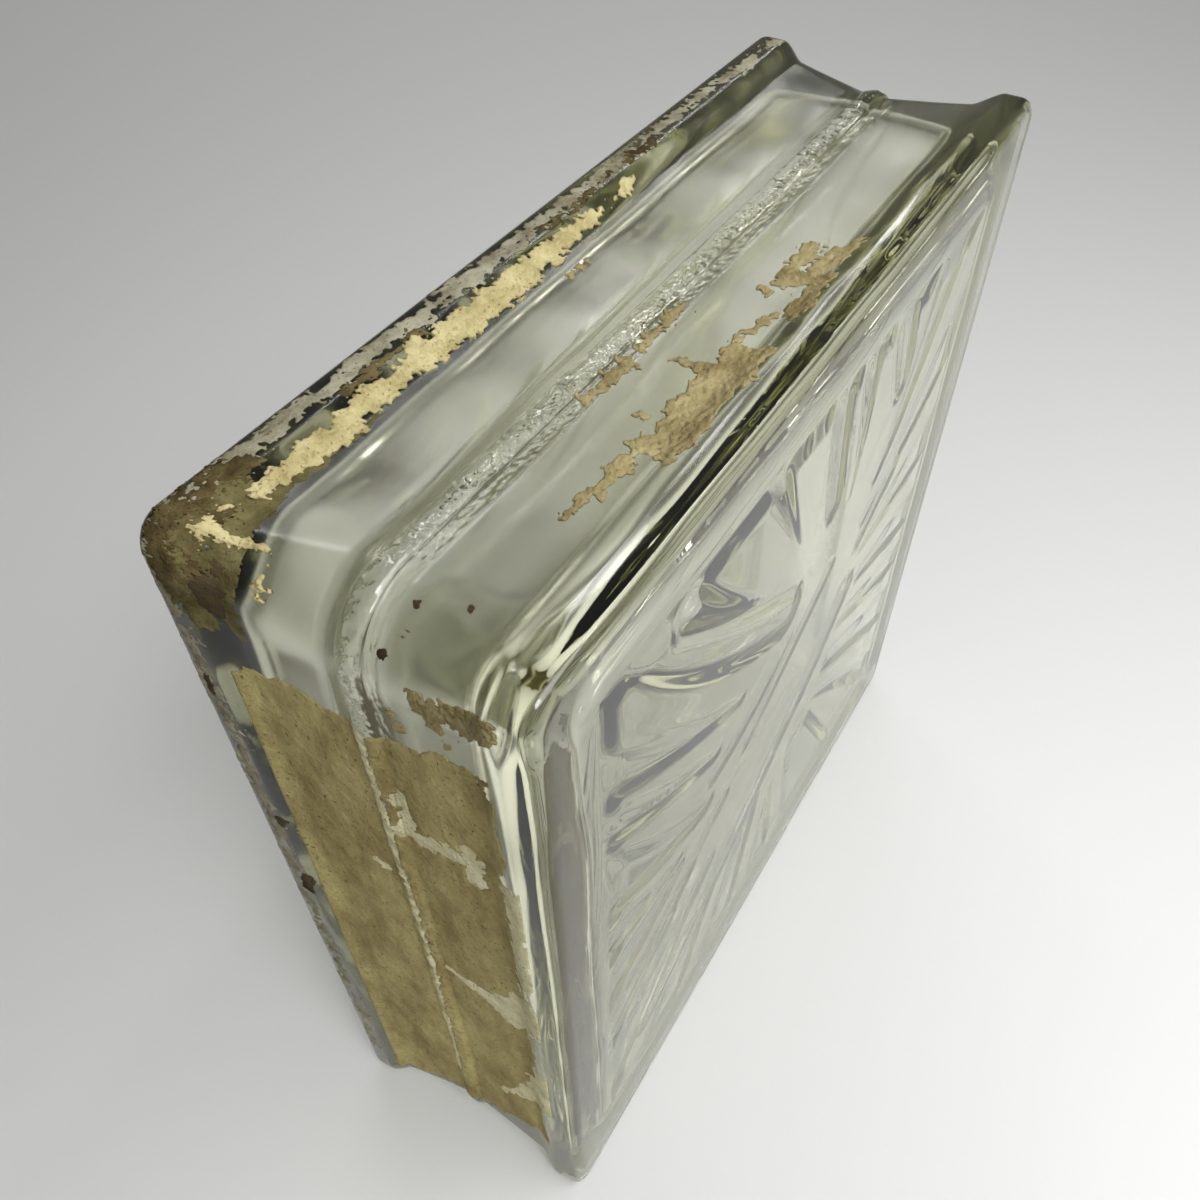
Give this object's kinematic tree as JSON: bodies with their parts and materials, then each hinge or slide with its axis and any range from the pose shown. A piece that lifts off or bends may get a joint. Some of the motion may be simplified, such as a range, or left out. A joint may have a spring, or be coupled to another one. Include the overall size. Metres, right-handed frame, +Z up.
{
  "type": "glass block",
  "caption": "Square hollow glass building block pressed in halves, with a lip round each face, a mortar channel round the edge and a bead over the seam.",
  "frame": {"origin": "centre of the edge that the block stands on, at floor level, midway between the faces", "axes": "+Z up from the resting edge, X along the face's width, Y through the thickness with the front face at -Y"},
  "size_m": [0.24, 0.08, 0.24],
  "materials": {
    "glass": "pressed, fire polished outside, waved inside the faces",
    "mortar_residue": "dry, scraped, dull film and crust"
  },
  "bodies": {
    "root": {"front_half": "glass", "back_half": "glass"}
  },
  "joints": []
}
